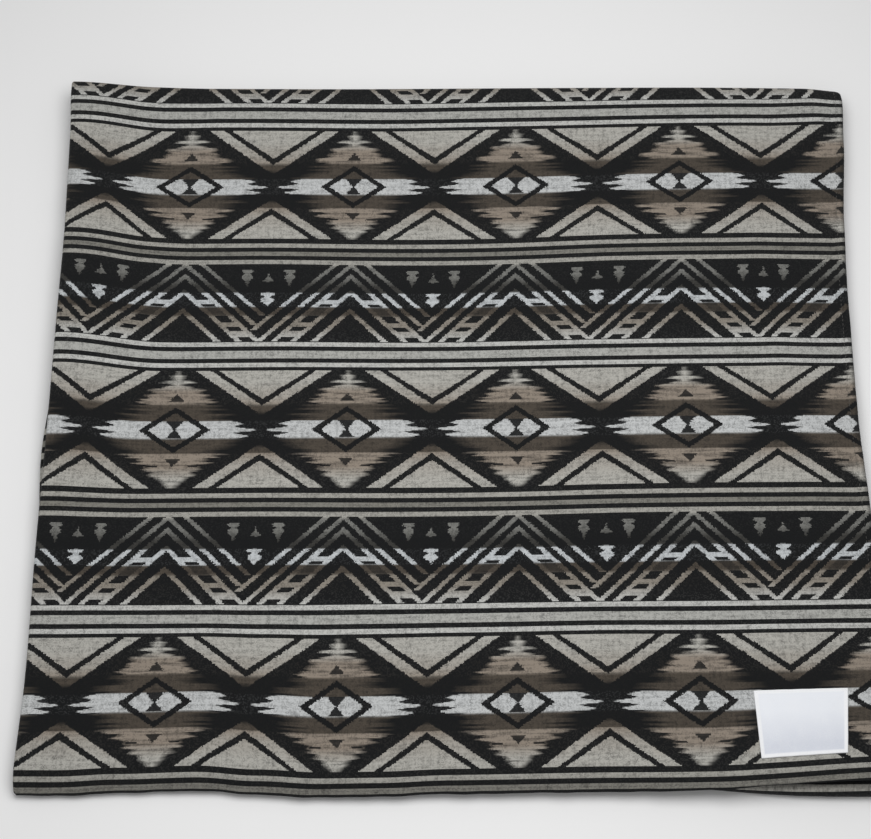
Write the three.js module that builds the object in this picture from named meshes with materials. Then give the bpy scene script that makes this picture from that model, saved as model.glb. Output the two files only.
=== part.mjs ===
// Folded woven throw blanket with a small sewn-on label.
// One length of cloth is doubled across its width, which puts a fold on the left and the open
// hems on the right, and is then folded back and forth in three along its length. The top panel's
// free hem droops over the lower fold at the front, and the label is in that panel's corner.
// Millimetres. X runs along the front, Y away from it, Z up; Z = 0 is the surface it lies on.

import * as THREE from 'three';

// Cloth, laid flat
const CLOTH_WIDTH = 1270;
const CLOTH_LENGTH = 1778;
const CLOTH_THICK = 2;
const LAYER_GAP = 0.6;

// How the panels end at the front and the back
const DROOP_REACH = 19;
const DROOP_DROP = 12.4;
const DROOP_ANGLE = THREE.MathUtils.degToRad(78);
const BOTTOM_SHORT = 8;

// Label: its size, its distance from the side hem and from the front end of the flat top panel
const LABEL_WIDTH = 66;
const LABEL_DEPTH = 51;
const LABEL_THICK = 0.8;
const LABEL_GAP = 0.3;
const LABEL_FROM_HEM = 34;
const LABEL_FROM_FRONT = 4;

// The front line, at a place across: how much of the droop is kept, for the hem straightens towards
// the right, and how far the waving front end of the top panel lies back. WAVE says where that starts
// and is whole. The fold below comes forward at the right.
const FRONT_LINE = [
  { at: -330, kept: 1, back: 0 },
  { at: -287, kept: 1, back: -0.4 },
  { at: -244, kept: 0.98, back: 1.6 },
  { at: -186, kept: 0.95, back: 3.2 },
  { at: -143, kept: 0.92, back: 0 },
  { at: -99, kept: 0.9, back: -2.4 },
  { at: -56, kept: 0.87, back: -2 },
  { at: -5, kept: 0.84, back: -0.4 },
  { at: 103, kept: 0.77, back: 0 },
  { at: 189, kept: 0.7, back: -1 },
  { at: 233, kept: 0.6, back: 0 },
  { at: 290, kept: 0.5, back: 0 },
  { at: 330, kept: 0.5, back: 0 },
];
const WAVE = { startY: -130, endY: -270 };
const FOLD_FORWARD = { startX: 40, endX: 270, startY: 0, endY: -280, distance: 15 };

// The far end of the stack spreads a little, and the soft folds stand taller than the flat layers
const FAR_SPREAD = { startY: 90, endY: 300, share: 0.018 };
const SIDE_PLUMP = { startX: -250, endX: -314, startY: -230, endY: 30, nearShare: 0.1, farShare: 0.34 };
const FAR_PLUMP = { startY: 255, endY: 292, share: 0.14 };

// Where the upper layers lift: centre, half-widths, height on the top panel, share of it that the
// panel below takes, and how far the top panel slides back with it
const LIFTS = [
  { spot: 'side fold', x: -318, y: 120, reachX: 110, reachY: 240, rise: 4, below: 0.45, slide: 0 },
  { spot: 'far left corner', x: -318, y: 300, reachX: 120, reachY: 90, rise: 3.5, below: 0.5, slide: 1 },
  { spot: 'near right corner', x: 318, y: -295, reachX: 200, reachY: 110, rise: 7.5, below: 0.1, slide: 1 },
  { spot: 'far right swell', x: 205, y: 180, reachX: 170, reachY: 150, rise: 3.5, below: 0.5, slide: 0 },
  { spot: 'mid right swell', x: 205, y: -40, reachX: 170, reachY: 130, rise: 3, below: 0.5, slide: 0 },
  { spot: 'far edge', x: 200, y: 300, reachX: 330, reachY: 130, rise: 4.5, below: 0.6, slide: 0 },
  { spot: 'front hem', x: 172, y: -300, reachX: 85, reachY: 40, rise: 1.5, below: 0, slide: 0 },
  { spot: 'far right corner', x: 325, y: 305, reachX: 40, reachY: 60, rise: -2.4, below: 0.6, slide: -2 },
];

// Side lines, at a share of the cloth's length counted from the front hem of the top panel: how far
// the side fold stands out from its line, and how far the two leaves' hems stand in from theirs
const SIDE_LINES = [
  { at: 0.0, fold: 0, outer: 0, inner: 3 },
  { at: 0.05, fold: -2.3, outer: 1, inner: 4 },
  { at: 0.11, fold: -1, outer: 2.5, inner: 5 },
  { at: 0.17, fold: -1.5, outer: 5.8, inner: 8 },
  { at: 0.225, fold: -1, outer: 4.8, inner: 7 },
  { at: 0.27, fold: -2.2, outer: 4, inner: 6 },
  { at: 0.315, fold: -2.6, outer: 1.2, inner: 3.5 },
  { at: 0.34, fold: -1.2, outer: 0, inner: 2 },
  { at: 0.49, fold: -2, outer: 8, inner: 8 },
  { at: 0.535, fold: 2.5, outer: 9, inner: 8 },
  { at: 0.58, fold: -2, outer: 8, inner: 8 },
  { at: 0.67, fold: -3, outer: 3, inner: 5 },
  { at: 0.84, fold: -4, outer: 9, inner: 8 },
  { at: 1.0, fold: -5, outer: 4, inner: 6 },
];
const SIDE_LINE_REACH = 120;

// Steps of the facets
const FLAT_STEP = 68;
const FRONT_STEP = 45;
const EDGE_STEP = 24;
const PLUMP_STEP = 15;
const EDGE_BAND = 60;
const TURN_STEPS = 6;
const FOLD_STEPS = 8;
const DROOP_STEPS = 5;

// Heights and lengths that follow from the sizes above
const LAYER_PITCH = CLOTH_THICK + LAYER_GAP;
const LEAF_OFFSET = LAYER_PITCH / 2;
const HALF_THICK = CLOTH_THICK / 2;
const TURN_RADIUS = LAYER_PITCH;
const BOTTOM_Z = LEAF_OFFSET + HALF_THICK;
const MIDDLE_Z = BOTTOM_Z + 2 * TURN_RADIUS;
const TOP_Z = MIDDLE_Z + 2 * TURN_RADIUS;

const leafWidth = (CLOTH_WIDTH - Math.PI * LEAF_OFFSET) / 2;
const faceWidth = leafWidth + LEAF_OFFSET + HALF_THICK;
const hemX = faceWidth / 2;
const turnX = hemX - leafWidth;

const quarter = Math.PI / 2;
const droopEnd = quarter + DROOP_ANGLE;
const droopLength = new THREE.EllipseCurve(0, 0, DROOP_REACH, DROOP_DROP, quarter, droopEnd).getLength();
const foldLength = Math.PI * TURN_RADIUS;
const panelLength = (CLOTH_LENGTH - droopLength - 2 * foldLength + BOTTOM_SHORT) / 3;
const faceDepth = DROOP_REACH + panelLength + TURN_RADIUS + LEAF_OFFSET + HALF_THICK;
const frontY = -faceDepth / 2 + DROOP_REACH;
const farY = frontY + panelLength;

const labelRight = hemX - LABEL_FROM_HEM;
const labelLeft = labelRight - LABEL_WIDTH;
const labelNear = frontY + LABEL_FROM_FRONT;
const labelFar = labelNear + LABEL_DEPTH;

const { smoothstep, lerp } = THREE.MathUtils;

// 0 to 1 as value goes from start to end, in either direction
function ramp(value, start, end) {
  return start < end ? smoothstep(value, start, end) : 1 - smoothstep(value, end, start);
}

// A column of a table whose rows are in order of their "at" value
function alongTable(table, at, column) {
  const next = Math.max(1, table.findIndex((row) => row.at >= at));
  const before = table[next - 1];
  const after = table[next];
  return lerp(before[column], after[column], smoothstep(at, before.at, after.at));
}

// The back-and-forth line of the doubled cloth in the Y-Z plane, from the top panel's front hem.
// top and middle say how much a stretch belongs to those panels at its start and at its end.
const line = (fromY, toY, z) => new THREE.LineCurve(new THREE.Vector2(fromY, z), new THREE.Vector2(toY, z));
const arc = (y, z, radiusY, radiusZ, start, end, clockwise) =>
  new THREE.EllipseCurve(y, z, radiusY, radiusZ, start, end, clockwise);

const farFoldZ = (TOP_Z + MIDDLE_Z) / 2;
const frontFoldZ = (MIDDLE_Z + BOTTOM_Z) / 2;
const bottomEndY = farY - BOTTOM_SHORT;
const stretches = [
  {
    name: 'droop',
    curve: arc(frontY, TOP_Z - DROOP_DROP, DROOP_REACH, DROOP_DROP, droopEnd, quarter, true),
    top: [1, 1],
    middle: [0, 0],
  },
  { name: 'top', curve: line(frontY, farY, TOP_Z), top: [1, 1], middle: [0, 0] },
  {
    name: 'farFold',
    curve: arc(farY, farFoldZ, TURN_RADIUS, TURN_RADIUS, quarter, -quarter, true),
    top: [1, 0],
    middle: [0, 1],
  },
  { name: 'middle', curve: line(farY, frontY, MIDDLE_Z), top: [0, 0], middle: [1, 1] },
  {
    name: 'frontFold',
    curve: arc(frontY, frontFoldZ, TURN_RADIUS, TURN_RADIUS, quarter, 3 * quarter, false),
    top: [0, 0],
    middle: [1, 0],
  },
  { name: 'bottom', curve: line(frontY, bottomEndY, BOTTOM_Z), top: [0, 0], middle: [0, 0] },
];
const pathLength = stretches.reduce((sum, stretch) => sum + stretch.curve.getLength(), 0);

// Lay a point of the neat stack into the uneven one
function settle(x, y, z, top, middle) {
  let lift = 0;
  let slide = 0;
  for (const row of LIFTS) {
    const away = ((x - row.x) / row.reachX) ** 2 + ((y - row.y) / row.reachY) ** 2;
    const swell = Math.max(0, 1 - away) ** 2;
    lift += row.rise * swell * (top + middle * row.below);
    slide += row.slide * swell * top;
  }
  slide += alongTable(FRONT_LINE, x, 'back') * ramp(y, WAVE.startY, WAVE.endY) * top;
  const forward =
    FOLD_FORWARD.distance *
    ramp(x, FOLD_FORWARD.startX, FOLD_FORWARD.endX) *
    ramp(y, FOLD_FORWARD.startY, FOLD_FORWARD.endY) *
    (1 - top);
  const sideShare = lerp(
    SIDE_PLUMP.nearShare,
    SIDE_PLUMP.farShare,
    ramp(y, SIDE_PLUMP.startY, SIDE_PLUMP.endY),
  );
  const plump =
    sideShare * ramp(x, SIDE_PLUMP.startX, SIDE_PLUMP.endX) +
    FAR_PLUMP.share * ramp(y, FAR_PLUMP.startY, FAR_PLUMP.endY);
  const spread = 1 + FAR_SPREAD.share * ramp(y, FAR_SPREAD.startY, FAR_SPREAD.endY);
  return new THREE.Vector3(x * spread, y + slide - forward, z * (1 + plump) + lift);
}

// A point of the doubled cloth: x across, t along one stretch, offset out from the pair's middle
function onCloth(x, stretch, t, offset) {
  const kept = alongTable(FRONT_LINE, x, 'kept');
  const along = stretch.name === 'droop' ? 1 - kept * (1 - t) : t;
  const point = stretch.curve.getPoint(along);
  const tangent = stretch.curve.getTangent(along);
  const top = lerp(stretch.top[0], stretch.top[1], smoothstep(t, 0, 1));
  const middle = lerp(stretch.middle[0], stretch.middle[1], smoothstep(t, 0, 1));
  return settle(x, point.x - tangent.y * offset, point.y + tangent.x * offset, top, middle);
}

// Stations from a start through spans, each cut evenly into steps of about the span's own size
function stations(start, spans) {
  const list = [start];
  for (const { end, step } of spans) {
    const from = list[list.length - 1];
    const count = Math.max(1, Math.round((end - from) / step));
    for (let k = 1; k <= count; k += 1) list.push(lerp(from, end, k / count));
  }
  return list;
}

// A closed sheet from a grid of points: place(i, j, side) gives the outer (1) and inner (-1) face.
// crossed(i, j) turns a cell's diagonal, so that layers above each other keep parallel facets.
function closedSheet(columns, rows, place, crossed) {
  const positions = [];
  for (const side of [1, -1]) {
    for (let j = 0; j < rows; j += 1) {
      for (let i = 0; i < columns; i += 1) positions.push(...place(i, j, side).toArray());
    }
  }
  const outer = (i, j) => j * columns + i;
  const inner = (i, j) => (rows + j) * columns + i;
  const last = columns - 1;
  const triangles = [];
  const quad = (a, b, c, d) => triangles.push(a, b, c, a, c, d);
  for (let j = 0; j + 1 < rows; j += 1) {
    for (let i = 0; i + 1 < columns; i += 1) {
      const cell = [[i, j], [i + 1, j], [i + 1, j + 1], [i, j + 1]];
      if (crossed(i, j)) cell.push(cell.shift());
      quad(...cell.map((corner) => outer(...corner)));
      quad(...cell.map((corner) => inner(...corner)).reverse());
    }
    quad(inner(0, j), outer(0, j), outer(0, j + 1), inner(0, j + 1));
    quad(outer(last, j), inner(last, j), inner(last, j + 1), outer(last, j + 1));
  }
  for (let i = 0; i + 1 < columns; i += 1) {
    quad(inner(i, 0), inner(i + 1, 0), outer(i + 1, 0), outer(i, 0));
    quad(outer(i, rows - 1), outer(i + 1, rows - 1), inner(i + 1, rows - 1), inner(i, rows - 1));
  }
  const geometry = new THREE.BufferGeometry();
  geometry.setAttribute('position', new THREE.Float32BufferAttribute(positions, 3));
  geometry.setIndex(triangles);
  geometry.computeVertexNormals();
  return geometry;
}

const acrossStations = stations(turnX, [
  { end: turnX + EDGE_BAND, step: PLUMP_STEP },
  { end: labelLeft, step: FRONT_STEP },
  { end: labelRight, step: EDGE_STEP },
  { end: hemX, step: EDGE_STEP },
]);
const alongStations = stations(frontY, [
  { end: labelFar, step: EDGE_STEP },
  { end: farY - EDGE_BAND, step: FLAT_STEP },
  { end: farY, step: EDGE_STEP },
]);

// The hairpin section of the doubled cloth: inner leaf, turn at the side fold, outer leaf
function hairpinSection() {
  const section = acrossStations.map((x) => ({ x, leaf: 'inner', turn: Math.PI })).reverse();
  for (let k = TURN_STEPS - 1; k > 0; k -= 1) {
    section.push({ x: turnX, leaf: 'turn', turn: (Math.PI * k) / TURN_STEPS });
  }
  return section.concat(acrossStations.map((x) => ({ x, leaf: 'outer', turn: 0 })));
}

// Stations along the whole back-and-forth line
function pathStations() {
  const shares = {
    droop: Array.from({ length: DROOP_STEPS + 1 }, (_, k) => k / DROOP_STEPS),
    fold: Array.from({ length: FOLD_STEPS + 1 }, (_, k) => k / FOLD_STEPS),
    panel: alongStations.map((y) => (y - frontY) / panelLength),
  };
  const list = [];
  let before = 0;
  for (const stretch of stretches) {
    const kind = stretch.name === 'droop' ? 'droop' : stretch.name.endsWith('Fold') ? 'fold' : 'panel';
    const steps = stretch.name === 'middle' ? shares.panel.map((t) => 1 - t).reverse() : shares[kind];
    const length = stretch.curve.getLength();
    for (const t of steps.slice(list.length ? 1 : 0)) {
      list.push({ stretch, t, at: Math.min(1, (before + t * length) / pathLength) });
    }
    before += length;
  }
  return list;
}

function clothGeometry() {
  const section = hairpinSection();
  const path = pathStations();
  const place = (i, j, side) => {
    const { x, leaf, turn } = section[i];
    const { stretch, t, at } = path[j];
    const reach = LEAF_OFFSET + side * HALF_THICK;
    const foldShift = -alongTable(SIDE_LINES, at, 'fold') * (1 - ramp(x, turnX, turnX + SIDE_LINE_REACH));
    const hemInset = leaf === 'turn' ? 0 : alongTable(SIDE_LINES, at, leaf);
    const hemShift = -hemInset * ramp(x, hemX - SIDE_LINE_REACH, hemX);
    return onCloth(x - reach * Math.sin(turn) + foldShift + hemShift, stretch, t, reach * Math.cos(turn));
  };
  const crossed = (i, j) => (section[i].leaf === 'inner') !== (path[j + 1].stretch.name === 'middle');
  return closedSheet(section.length, path.length, place, crossed);
}

function labelGeometry() {
  const within = (list, low, high) => list.filter((value) => value > low && value < high);
  const across = [labelLeft, ...within(acrossStations, labelLeft, labelRight), labelRight];
  const along = [labelNear, ...within(alongStations, labelNear, labelFar), labelFar];
  const top = stretches.find((stretch) => stretch.name === 'top');
  const underside = LEAF_OFFSET + HALF_THICK + LABEL_GAP;
  const place = (i, j, side) =>
    onCloth(across[i], top, (along[j] - frontY) / panelLength, underside + (side > 0 ? LABEL_THICK : 0));
  return closedSheet(across.length, along.length, place, () => false);
}

const wovenCloth = new THREE.MeshStandardMaterial({ color: 0x4a4845, roughness: 0.95, metalness: 0 });
const wovenLabel = new THREE.MeshStandardMaterial({ color: 0xe6e8ec, roughness: 0.6, metalness: 0 });

const cloth = new THREE.Mesh(clothGeometry(), wovenCloth);
cloth.name = 'blanket_cloth';
const label = new THREE.Mesh(labelGeometry(), wovenLabel);
label.name = 'sewn_label';

// The origin is the middle of the underside
const blanket = new THREE.Group();
blanket.name = 'folded_blanket';
blanket.add(cloth, label);
const extent = new THREE.Box3().setFromObject(blanket);
const middle = extent.getCenter(new THREE.Vector3());
blanket.position.set(-middle.x, -middle.y, -extent.min.z);

export default blanket;
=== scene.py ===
import math

import bpy
import numpy as np
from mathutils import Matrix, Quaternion, Vector


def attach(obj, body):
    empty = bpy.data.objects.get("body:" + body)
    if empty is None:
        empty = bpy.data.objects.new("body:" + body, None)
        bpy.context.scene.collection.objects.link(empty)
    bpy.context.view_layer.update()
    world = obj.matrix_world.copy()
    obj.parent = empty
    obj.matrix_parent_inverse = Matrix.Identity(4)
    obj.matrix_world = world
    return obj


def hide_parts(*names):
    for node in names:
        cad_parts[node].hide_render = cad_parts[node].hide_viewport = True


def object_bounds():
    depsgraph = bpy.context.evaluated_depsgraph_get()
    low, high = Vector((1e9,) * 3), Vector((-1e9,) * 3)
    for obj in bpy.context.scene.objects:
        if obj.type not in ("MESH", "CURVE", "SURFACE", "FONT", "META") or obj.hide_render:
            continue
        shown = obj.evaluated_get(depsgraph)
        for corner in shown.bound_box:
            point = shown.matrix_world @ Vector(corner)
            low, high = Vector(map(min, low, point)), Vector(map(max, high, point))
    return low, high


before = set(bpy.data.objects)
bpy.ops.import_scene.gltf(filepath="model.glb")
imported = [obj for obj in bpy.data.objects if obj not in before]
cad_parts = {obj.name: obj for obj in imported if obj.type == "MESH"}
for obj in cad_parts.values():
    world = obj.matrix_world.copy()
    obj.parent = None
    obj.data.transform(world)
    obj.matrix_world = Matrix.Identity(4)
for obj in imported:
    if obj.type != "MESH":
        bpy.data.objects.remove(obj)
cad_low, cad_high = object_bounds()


# The view
# A long lens looks down on the blanket from the front, well above it, and leans a fraction of a
# degree as a camera held by hand does. Metres and degrees.
LOOKS_AT = Vector((-0.0167, -0.0070, 0.015))
CAMERA_DISTANCE = 1.6287
CAMERA_ELEVATION = math.radians(63.42)
CAMERA_AZIMUTH = math.radians(-0.12)
CAMERA_ROLL = math.radians(0.14)
CAMERA_LENS = 86.8
SENSOR_WIDTH = 36.0

looking = Vector((
    math.sin(CAMERA_AZIMUTH) * math.cos(CAMERA_ELEVATION),
    math.cos(CAMERA_AZIMUTH) * math.cos(CAMERA_ELEVATION),
    -math.sin(CAMERA_ELEVATION),
))
camera_data = bpy.data.cameras.new("camera")
camera_data.lens = CAMERA_LENS
camera_data.sensor_width = SENSOR_WIDTH
camera = bpy.data.objects.new("camera", camera_data)
bpy.context.scene.collection.objects.link(camera)
camera.location = LOOKS_AT - looking * CAMERA_DISTANCE
camera.rotation_mode = "QUATERNION"
camera.rotation_quaternion = looking.to_track_quat("-Z", "Y") @ Quaternion((0, 0, 1), CAMERA_ROLL)
bpy.context.scene.camera = camera


# The cloth
# One length of soft cloth, woven in charcoal, greys, tan, brown and off-white, is doubled across its
# width, which puts a fold on the left, and is folded back and forth in three along its length. Its
# hems are narrow, turned under and sewn. Sizes here are millimetres.
MM = 0.001
CLOTH_WIDTH = 1270.0
CLOTH_LENGTH = 1778.0
CLOTH_THICK = 2.0
LAYER_GAP = 0.6
BOTTOM_SHORT = 8.0

# The top panel's front end droops over the folds below it. By place along X: the share of the droop
# that is kept, and how far back the wavy edge lies
DROOP_REACH = 19.0
DROOP_DROP = 12.4
DROOP_ANGLE = math.radians(78)
DROOP_FLAT = 25.6
FRONT_LINE = [
    dict(at=-330, kept=1, back=0),
    dict(at=-287, kept=1, back=-0.4),
    dict(at=-244, kept=0.98, back=1.6),
    dict(at=-186, kept=0.95, back=3.2),
    dict(at=-143, kept=0.92, back=0),
    dict(at=-99, kept=0.9, back=-2.4),
    dict(at=-56, kept=0.87, back=-2),
    dict(at=-5, kept=0.84, back=-0.4),
    dict(at=103, kept=0.77, back=0),
    dict(at=189, kept=0.7, back=-1),
    dict(at=233, kept=0.6, back=0),
    dict(at=290, kept=0.5, back=0),
    dict(at=330, kept=0.5, back=0),
]
WAVE_Y = (-130, -270)

# How the stack strays from a neat one: the lower fold slides out at the front right, the far end is
# spread, the side and far folds are plump, each from none to all over a range of X or Y, and edges and
# corners are lifted
FOLD_FORWARD = dict(x=(40, 270), y=(0, -280), distance=15)
FAR_SPREAD = dict(y=(90, 300), share=0.018)
SIDE_PLUMP = dict(x=(-250, -314), y=(-230, 30), near_share=0.1, far_share=0.34)
FAR_PLUMP = dict(y=(255, 292), share=0.14)
LIFTS = [
    dict(spot="side fold", x=-318, y=120, reach_x=110, reach_y=240, rise=4, below=0.45),
    dict(spot="far left corner", x=-318, y=300, reach_x=120, reach_y=90, rise=3.5, below=0.5, slide=1),
    dict(spot="near right corner", x=318, y=-295, reach_x=200, reach_y=110, rise=7.5, below=0.1, slide=1),
    dict(spot="far right swell", x=205, y=180, reach_x=170, reach_y=150, rise=3.5, below=0.5),
    dict(spot="mid right swell", x=205, y=-40, reach_x=170, reach_y=130, rise=3, below=0.5),
    dict(spot="far edge", x=200, y=300, reach_x=330, reach_y=130, rise=4.5, below=0.6),
    dict(spot="front hem", x=172, y=-300, reach_x=85, reach_y=40, rise=1.5, below=0),
    dict(spot="far right corner", x=325, y=305, reach_x=40, reach_y=60, rise=-2.4, below=0.6, slide=-2),
]

# The side fold's bulge and how far each leaf's hem is drawn in, by share of the way along the cloth.
# The rows about 0.34 round the far right corner, on the far fold
SIDE_LINES = [
    dict(at=0.0, fold=0, outer=0, inner=3),
    dict(at=0.05, fold=-2.3, outer=1, inner=4),
    dict(at=0.11, fold=-1, outer=2.5, inner=5),
    dict(at=0.17, fold=-1.5, outer=5.8, inner=8),
    dict(at=0.225, fold=-1, outer=4.8, inner=7),
    dict(at=0.27, fold=-2.2, outer=4, inner=6),
    dict(at=0.315, fold=-2.6, outer=1.2, inner=3.5),
    dict(at=0.337, fold=-1.25, outer=0, inner=2),
    dict(at=0.3401, fold=-1.2, outer=0.7, inner=2.7),
    dict(at=0.3424, fold=-1.2, outer=7, inner=8),
    dict(at=0.3447, fold=-1.2, outer=1.5, inner=3.5),
    dict(at=0.36, fold=-1.2, outer=0.5, inner=2.3),
    dict(at=0.49, fold=-2, outer=8, inner=8),
    dict(at=0.535, fold=2.5, outer=9, inner=8),
    dict(at=0.58, fold=-2, outer=8, inner=8),
    dict(at=0.67, fold=-3, outer=3, inner=5),
    dict(at=0.84, fold=-4, outer=9, inner=8),
    dict(at=1.0, fold=-5, outer=4, inner=6),
]
SIDE_LINE_REACH = 120.0

# Soft creases of the top leaf: middle, half length, half width, turn from the X axis in degrees, height
CREASES = [
    dict(x=-262, y=-40, half_length=190, half_width=16, turn=84, height=0.9),
    dict(x=-236, y=150, half_length=120, half_width=14, turn=70, height=0.8),
    dict(x=-70, y=95, half_length=200, half_width=22, turn=4, height=0.7),
    dict(x=60, y=-95, half_length=170, half_width=18, turn=-6, height=0.8),
    dict(x=215, y=-205, half_length=130, half_width=17, turn=24, height=1.1),
    dict(x=255, y=60, half_length=150, half_width=15, turn=97, height=0.8),
    dict(x=20, y=238, half_length=240, half_width=12, turn=1, height=0.7),
    dict(x=-120, y=-225, half_length=150, half_width=15, turn=-3, height=0.7),
]
FAR_SMOOTH = 24.0

# A turned hem: a raised band, dented along its stitches and slightly puckered
HEM_WIDTH = 7.5
HEM_STEP = 1.2
HEM_RAISED = 1.1
HEM_STITCHED_AT = 6.0
HEM_DENT = 0.7
HEM_DENT_HALF = 1.0
HEM_PUCKER = 0.2
HEM_PUCKER_FADE = 9.0
HEM_PUCKERS = [dict(length=3.7, start=0.0), dict(length=6.1, start=1.3), dict(length=11.0, start=0.4)]
HEM_EDGE_LEAST = 0.03
UNDER_RELIEF = 0.5

LAYER_PITCH = CLOTH_THICK + LAYER_GAP
LEAF_OFFSET = LAYER_PITCH / 2
HALF_THICK = CLOTH_THICK / 2
TURN_RADIUS = LAYER_PITCH
BOTTOM_Z = LEAF_OFFSET + HALF_THICK
MIDDLE_Z = BOTTOM_Z + 2 * TURN_RADIUS
TOP_Z = MIDDLE_Z + 2 * TURN_RADIUS


def ellipse_length(reach, drop, start, end, steps=400):
    """Length of an arc of an ellipse, in short chords."""
    angles = np.linspace(start, end, steps + 1)
    return float(np.hypot(np.diff(reach * np.cos(angles)), np.diff(drop * np.sin(angles))).sum())


leaf_width = (CLOTH_WIDTH - math.pi * LEAF_OFFSET) / 2
hem_x = (leaf_width + LEAF_OFFSET + HALF_THICK) / 2
turn_x = hem_x - leaf_width
droop_length = ellipse_length(DROOP_REACH, DROOP_DROP, math.pi / 2, math.pi / 2 + DROOP_ANGLE)
fold_length = math.pi * TURN_RADIUS
panel_length = (CLOTH_LENGTH - droop_length - 2 * fold_length + BOTTOM_SHORT) / 3
face_depth = DROOP_REACH + panel_length + TURN_RADIUS + LEAF_OFFSET + HALF_THICK
front_y = -face_depth / 2 + DROOP_REACH
far_y = front_y + panel_length

# The stretches of the cloth in order, from the top panel's front hem to the bottom panel's end
STRETCH_LENGTHS = dict(
    droop=droop_length,
    top=panel_length,
    far_fold=fold_length,
    middle=panel_length,
    front_fold=fold_length,
    bottom=panel_length - BOTTOM_SHORT,
)
path_length = sum(STRETCH_LENGTHS.values())
path_starts = {}
for stretch_name in STRETCH_LENGTHS:
    path_starts[stretch_name] = sum(STRETCH_LENGTHS[earlier] for earlier in path_starts)


def ramp(value, start, end):
    """0 to 1 as value goes from start to end, in either direction, with soft ends."""
    share = np.clip((value - start) / (end - start), 0, 1)
    return share * share * (3 - 2 * share)


def along_table(table, at, column):
    """A column of a table whose rows are in order of "at", with soft steps between its rows."""
    places = np.array([row["at"] for row in table])
    values = np.array([row[column] for row in table], float)
    after = np.clip(np.searchsorted(places, at), 1, len(table) - 1)
    share = ramp(at, places[after - 1], places[after])
    return values[after - 1] + (values[after] - values[after - 1]) * share


def swell(row, x, y):
    """1 in the middle of a place on the cloth, falling softly to 0 at its reach."""
    away = ((x - row["x"]) / row["reach_x"]) ** 2 + ((y - row["y"]) / row["reach_y"]) ** 2
    return np.maximum(0, 1 - away) ** 2


def bell(value, middle, half):
    """1 in the middle, fading to either side."""
    return np.exp(-((value - middle) / half) ** 2)


def rounded(edge, radius, least):
    """Share of the full thickness at a distance from a rounded edge."""
    inward = np.minimum(edge, radius) / radius
    return np.sqrt(np.clip(1 - (1 - inward) ** 2, least, 1))


def fold_line(stretch, t, x):
    """Y, Z and direction of the doubled cloth's back-and-forth line, t along one stretch."""
    level = np.zeros_like(t * x)
    if stretch == "droop":
        angle = DROOP_ANGLE * along_table(FRONT_LINE, x, "kept") * (1 - t)
        y = front_y - DROOP_REACH * np.sin(angle)
        z = TOP_Z - DROOP_DROP * (1 - np.cos(angle))
        go_y = DROOP_REACH * np.cos(angle)
        go_z = DROOP_DROP * np.sin(angle)
        size = np.hypot(go_y, go_z)
        return y, z, go_y / size, go_z / size
    if stretch == "far_fold":
        angle = math.pi * (0.5 - t) + level
        y = far_y + TURN_RADIUS * np.cos(angle)
        z = (TOP_Z + MIDDLE_Z) / 2 + TURN_RADIUS * np.sin(angle)
        return y, z, np.sin(angle), -np.cos(angle)
    if stretch == "front_fold":
        angle = math.pi * (0.5 + t) + level
        y = front_y + TURN_RADIUS * np.cos(angle)
        z = (MIDDLE_Z + BOTTOM_Z) / 2 + TURN_RADIUS * np.sin(angle)
        return y, z, -np.sin(angle), np.cos(angle)
    if stretch == "middle":
        return far_y - t * panel_length + level, MIDDLE_Z + level, level - 1, level
    height = TOP_Z if stretch == "top" else BOTTOM_Z
    return front_y + t * STRETCH_LENGTHS[stretch] + level, height + level, level + 1, level


def panel_shares(stretch, t):
    """How much a point belongs to the top panel and to the middle one."""
    step = ramp(t, 0, 1)
    if stretch in ("droop", "top"):
        return 1 + 0 * t, 0 * t
    if stretch == "far_fold":
        return 1 - step, step
    if stretch == "front_fold":
        return 0 * t, 1 - step
    return 0 * t, (1 if stretch == "middle" else 0) + 0 * t


def settle(x, y, z, top, middle):
    """Lays a point of the neat stack into the uneven one."""
    lift = 0
    slide = 0
    for row in LIFTS:
        here = swell(row, x, y)
        lift = lift + row["rise"] * here * (top + middle * row["below"])
        slide = slide + row.get("slide", 0) * here * top
    slide = slide + along_table(FRONT_LINE, x, "back") * ramp(y, *WAVE_Y) * top
    forward = FOLD_FORWARD["distance"] * (1 - top)
    forward = forward * ramp(x, *FOLD_FORWARD["x"]) * ramp(y, *FOLD_FORWARD["y"])
    further = SIDE_PLUMP["far_share"] - SIDE_PLUMP["near_share"]
    plump = SIDE_PLUMP["near_share"] + further * ramp(y, *SIDE_PLUMP["y"])
    plump = plump * ramp(x, *SIDE_PLUMP["x"]) + FAR_PLUMP["share"] * ramp(y, *FAR_PLUMP["y"])
    spread = 1 + FAR_SPREAD["share"] * ramp(y, *FAR_SPREAD["y"])
    return np.stack([x * spread, y + slide - forward, z * (1 + plump) + lift], axis=-1)


def lay_cloth(stretch, t, x, turn, reach, outer, inner):
    """Points at a reach from the doubled cloth's middle: t along a stretch, x across, turn round the
    side fold. outer and inner say how much a column belongs to either leaf's hem."""
    at = (path_starts[stretch] + t * STRETCH_LENGTHS[stretch]) / path_length
    fold_out = along_table(SIDE_LINES, at, "fold") * (1 - ramp(x, turn_x, turn_x + SIDE_LINE_REACH))
    hem_in = outer * along_table(SIDE_LINES, at, "outer") + inner * along_table(SIDE_LINES, at, "inner")
    hem_in = hem_in * ramp(x, hem_x - SIDE_LINE_REACH, hem_x)
    across = x - reach * np.sin(turn) - fold_out - hem_in
    y, z, go_y, go_z = fold_line(stretch, t, across)
    offset = reach * np.cos(turn)
    top, middle = panel_shares(stretch, t)
    return settle(across, y - go_z * offset, z + go_y * offset, top, middle)


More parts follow.
